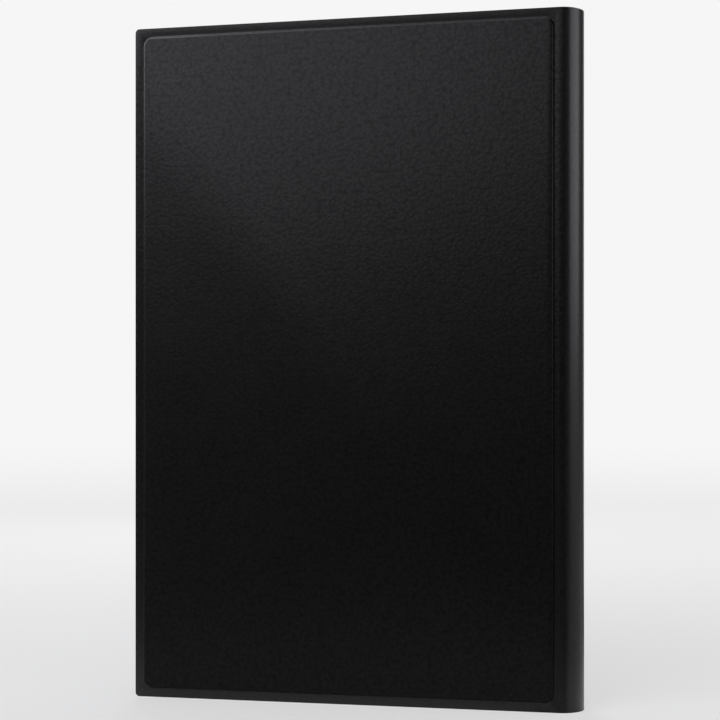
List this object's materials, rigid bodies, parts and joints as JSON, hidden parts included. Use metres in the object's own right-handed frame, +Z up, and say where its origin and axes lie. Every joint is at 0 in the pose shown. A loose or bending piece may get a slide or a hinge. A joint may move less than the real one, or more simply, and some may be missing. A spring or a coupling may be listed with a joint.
{
  "type": "tablet keyboard case",
  "caption": "Black leather-look folio case for a tablet with a detachable keyboard, spine fold, kickstand and hard tray",
  "frame": {"origin": "middle of the footprint, on the surface that the closed case stands on", "axes": "+Z up along the spine, +X towards the spine, +Y from the front cover to the back cover"},
  "size_m": [0.1694, 0.022, 0.2546],
  "materials": {
    "black_leather": "fine pressed grain, soft sheen",
    "suede_lining": "short brushed pile",
    "fibre_board": "pressed fibre",
    "plated_magnet": "nickel plated",
    "bright_steel": "rolled sheet",
    "tray_plastic": "fine spark texture",
    "housing_plastic": "fine spark texture",
    "cap_plastic": "satin",
    "pad_plastic": "smooth satin",
    "clear_film": "printed film",
    "grey_silicone": "matt silicone",
    "black_rubber": "matt",
    "green_laminate": "solder mask",
    "foil_pouch": "laminated foil",
    "lens_plastic": "clear moulded"
  },
  "bodies": {
    "back_cover": {"back_fold": "black_leather", "back_skin": "black_leather", "back_board": "fibre_board", "back_lining": "suede_lining", "tablet_tray": "tray_plastic", "kickstand_strikes": "bright_steel"},
    "spine": {"spine_skin": "black_leather", "spine_board": "fibre_board", "spine_lining": "suede_lining", "front_fold": "black_leather"},
    "front_cover": {"front_skin": "black_leather", "front_board": "fibre_board", "front_lining": "suede_lining", "hold_magnets": "plated_magnet"},
    "kickstand": {"kickstand_skin": "black_leather", "kickstand_board": "fibre_board", "kickstand_lining": "suede_lining", "kickstand_magnets": "plated_magnet"},
    "keyboard": {"bottom_case": "housing_plastic", "top_case": "housing_plastic", "key_plate": "bright_steel", "membrane": "clear_film", "rubber_domes": "grey_silicone", "keyboard_strikes": "bright_steel", "circuit_board": "green_laminate", "battery": "foil_pouch", "charge_socket": "bright_steel", "switch_body": "bright_steel", "touchpad_switch": "bright_steel", "indicator_lenses": "lens_plastic", "rubber_feet": "black_rubber", "case_screws": "bright_steel"},
    "touchpad_plate": {"touchpad": "pad_plastic"},
    "connect_cap": {"connect_button": "cap_plastic"},
    "power_knob": {"power_slider": "cap_plastic"},
    "left_control_key_cap": {"left_control_key": "cap_plastic"},
    "fn_key_cap": {"fn_key": "cap_plastic"},
    "command_key_cap": {"command_key": "cap_plastic"},
    "left_alt_key_cap": {"left_alt_key": "cap_plastic"},
    "space_key_cap": {"space_key": "cap_plastic"},
    "right_alt_key_cap": {"right_alt_key": "cap_plastic"},
    "right_control_key_cap": {"right_control_key": "cap_plastic"},
    "left_arrow_key_cap": {"left_arrow_key": "cap_plastic"},
    "down_arrow_key_cap": {"down_arrow_key": "cap_plastic"},
    "right_arrow_key_cap": {"right_arrow_key": "cap_plastic"},
    "left_shift_key_cap": {"left_shift_key": "cap_plastic"},
    "lower_letter_keys_cap": {"lower_letter_keys": "cap_plastic"},
    "right_shift_key_cap": {"right_shift_key": "cap_plastic"},
    "up_arrow_key_cap": {"up_arrow_key": "cap_plastic"},
    "caps_lock_key_cap": {"caps_lock_key": "cap_plastic"},
    "home_letter_keys_cap": {"home_letter_keys": "cap_plastic"},
    "enter_key_cap": {"enter_key": "cap_plastic"},
    "tab_key_cap": {"tab_key": "cap_plastic"},
    "upper_letter_keys_cap": {"upper_letter_keys": "cap_plastic"},
    "number_keys_cap": {"number_keys": "cap_plastic"},
    "backspace_key_cap": {"backspace_key": "cap_plastic"},
    "escape_key_cap": {"escape_key": "cap_plastic"},
    "function_keys_cap": {"function_keys": "cap_plastic"}
  },
  "joints": [
    {"name": "spine_turn", "type": "hinge", "parent": "back_cover", "child": "spine", "pos_m": [0.08273, 0.00783, 0], "axis": [0, 0, 1], "range_deg": [0, 90], "deforming": ["back_fold"]},
    {"name": "cover_turn", "type": "hinge", "parent": "spine", "child": "front_cover", "pos_m": [0.08273, -0.00863, 0], "axis": [0, 0, 1], "range_deg": [0, 90], "deforming": ["front_fold"]},
    {"name": "kickstand_swing", "type": "hinge", "parent": "back_cover", "child": "kickstand", "pos_m": [-0.00765, 0.00905, 0], "axis": [0, 0, 1], "range_deg": [0, 70]},
    {"name": "keyboard_release", "type": "slide", "parent": "front_cover", "child": "keyboard", "axis": [-1, 0, 0], "range_m": [0, 0.16]},
    {"name": "touchpad_click", "type": "hinge", "parent": "keyboard", "child": "touchpad_plate", "pos_m": [-0.03545, -0.00575, 0.1273], "axis": [0, 0, 1], "range_deg": [0, 0.5], "stiffness_Nm_per_rad": 8},
    {"name": "connect_press", "type": "slide", "parent": "keyboard", "child": "connect_cap", "axis": [0, -1, 0], "range_m": [0, 0.0004], "stiffness_N_per_m": 1500},
    {"name": "power_slide", "type": "slide", "parent": "keyboard", "child": "power_knob", "axis": [1, 0, 0], "range_m": [0, 0.002]},
    {"name": "left_control_key_press", "type": "slide", "parent": "keyboard", "child": "left_control_key_cap", "axis": [0, -1, 0], "range_m": [0, 0.0011], "stiffness_N_per_m": 450},
    {"name": "fn_key_press", "type": "slide", "parent": "keyboard", "child": "fn_key_cap", "axis": [0, -1, 0], "range_m": [0, 0.0011], "stiffness_N_per_m": 450},
    {"name": "command_key_press", "type": "slide", "parent": "keyboard", "child": "command_key_cap", "axis": [0, -1, 0], "range_m": [0, 0.0011], "stiffness_N_per_m": 450},
    {"name": "left_alt_key_press", "type": "slide", "parent": "keyboard", "child": "left_alt_key_cap", "axis": [0, -1, 0], "range_m": [0, 0.0011], "stiffness_N_per_m": 450},
    {"name": "space_key_press", "type": "slide", "parent": "keyboard", "child": "space_key_cap", "axis": [0, -1, 0], "range_m": [0, 0.0011], "stiffness_N_per_m": 450, "deforming": ["rubber_domes"]},
    {"name": "right_alt_key_press", "type": "slide", "parent": "keyboard", "child": "right_alt_key_cap", "axis": [0, -1, 0], "range_m": [0, 0.0011], "stiffness_N_per_m": 450},
    {"name": "right_control_key_press", "type": "slide", "parent": "keyboard", "child": "right_control_key_cap", "axis": [0, -1, 0], "range_m": [0, 0.0011], "stiffness_N_per_m": 450},
    {"name": "left_arrow_key_press", "type": "slide", "parent": "keyboard", "child": "left_arrow_key_cap", "axis": [0, -1, 0], "range_m": [0, 0.0011], "stiffness_N_per_m": 450},
    {"name": "down_arrow_key_press", "type": "slide", "parent": "keyboard", "child": "down_arrow_key_cap", "axis": [0, -1, 0], "range_m": [0, 0.0011], "stiffness_N_per_m": 450},
    {"name": "right_arrow_key_press", "type": "slide", "parent": "keyboard", "child": "right_arrow_key_cap", "axis": [0, -1, 0], "range_m": [0, 0.0011], "stiffness_N_per_m": 450},
    {"name": "left_shift_key_press", "type": "slide", "parent": "keyboard", "child": "left_shift_key_cap", "axis": [0, -1, 0], "range_m": [0, 0.0011], "stiffness_N_per_m": 450},
    {"name": "lower_letter_keys_press", "type": "slide", "parent": "keyboard", "child": "lower_letter_keys_cap", "axis": [0, -1, 0], "range_m": [0, 0.0011], "stiffness_N_per_m": 4000},
    {"name": "right_shift_key_press", "type": "slide", "parent": "keyboard", "child": "right_shift_key_cap", "axis": [0, -1, 0], "range_m": [0, 0.0011], "stiffness_N_per_m": 450},
    {"name": "up_arrow_key_press", "type": "slide", "parent": "keyboard", "child": "up_arrow_key_cap", "axis": [0, -1, 0], "range_m": [0, 0.0011], "stiffness_N_per_m": 450},
    {"name": "caps_lock_key_press", "type": "slide", "parent": "keyboard", "child": "caps_lock_key_cap", "axis": [0, -1, 0], "range_m": [0, 0.0011], "stiffness_N_per_m": 450},
    {"name": "home_letter_keys_press", "type": "slide", "parent": "keyboard", "child": "home_letter_keys_cap", "axis": [0, -1, 0], "range_m": [0, 0.0011], "stiffness_N_per_m": 4000},
    {"name": "enter_key_press", "type": "slide", "parent": "keyboard", "child": "enter_key_cap", "axis": [0, -1, 0], "range_m": [0, 0.0011], "stiffness_N_per_m": 450},
    {"name": "tab_key_press", "type": "slide", "parent": "keyboard", "child": "tab_key_cap", "axis": [0, -1, 0], "range_m": [0, 0.0011], "stiffness_N_per_m": 450},
    {"name": "upper_letter_keys_press", "type": "slide", "parent": "keyboard", "child": "upper_letter_keys_cap", "axis": [0, -1, 0], "range_m": [0, 0.0011], "stiffness_N_per_m": 4000},
    {"name": "number_keys_press", "type": "slide", "parent": "keyboard", "child": "number_keys_cap", "axis": [0, -1, 0], "range_m": [0, 0.0011], "stiffness_N_per_m": 4000},
    {"name": "backspace_key_press", "type": "slide", "parent": "keyboard", "child": "backspace_key_cap", "axis": [0, -1, 0], "range_m": [0, 0.0011], "stiffness_N_per_m": 450},
    {"name": "escape_key_press", "type": "slide", "parent": "keyboard", "child": "escape_key_cap", "axis": [0, -1, 0], "range_m": [0, 0.0011], "stiffness_N_per_m": 450},
    {"name": "function_keys_press", "type": "slide", "parent": "keyboard", "child": "function_keys_cap", "axis": [0, -1, 0], "range_m": [0, 0.0011], "stiffness_N_per_m": 4000}
  ]
}
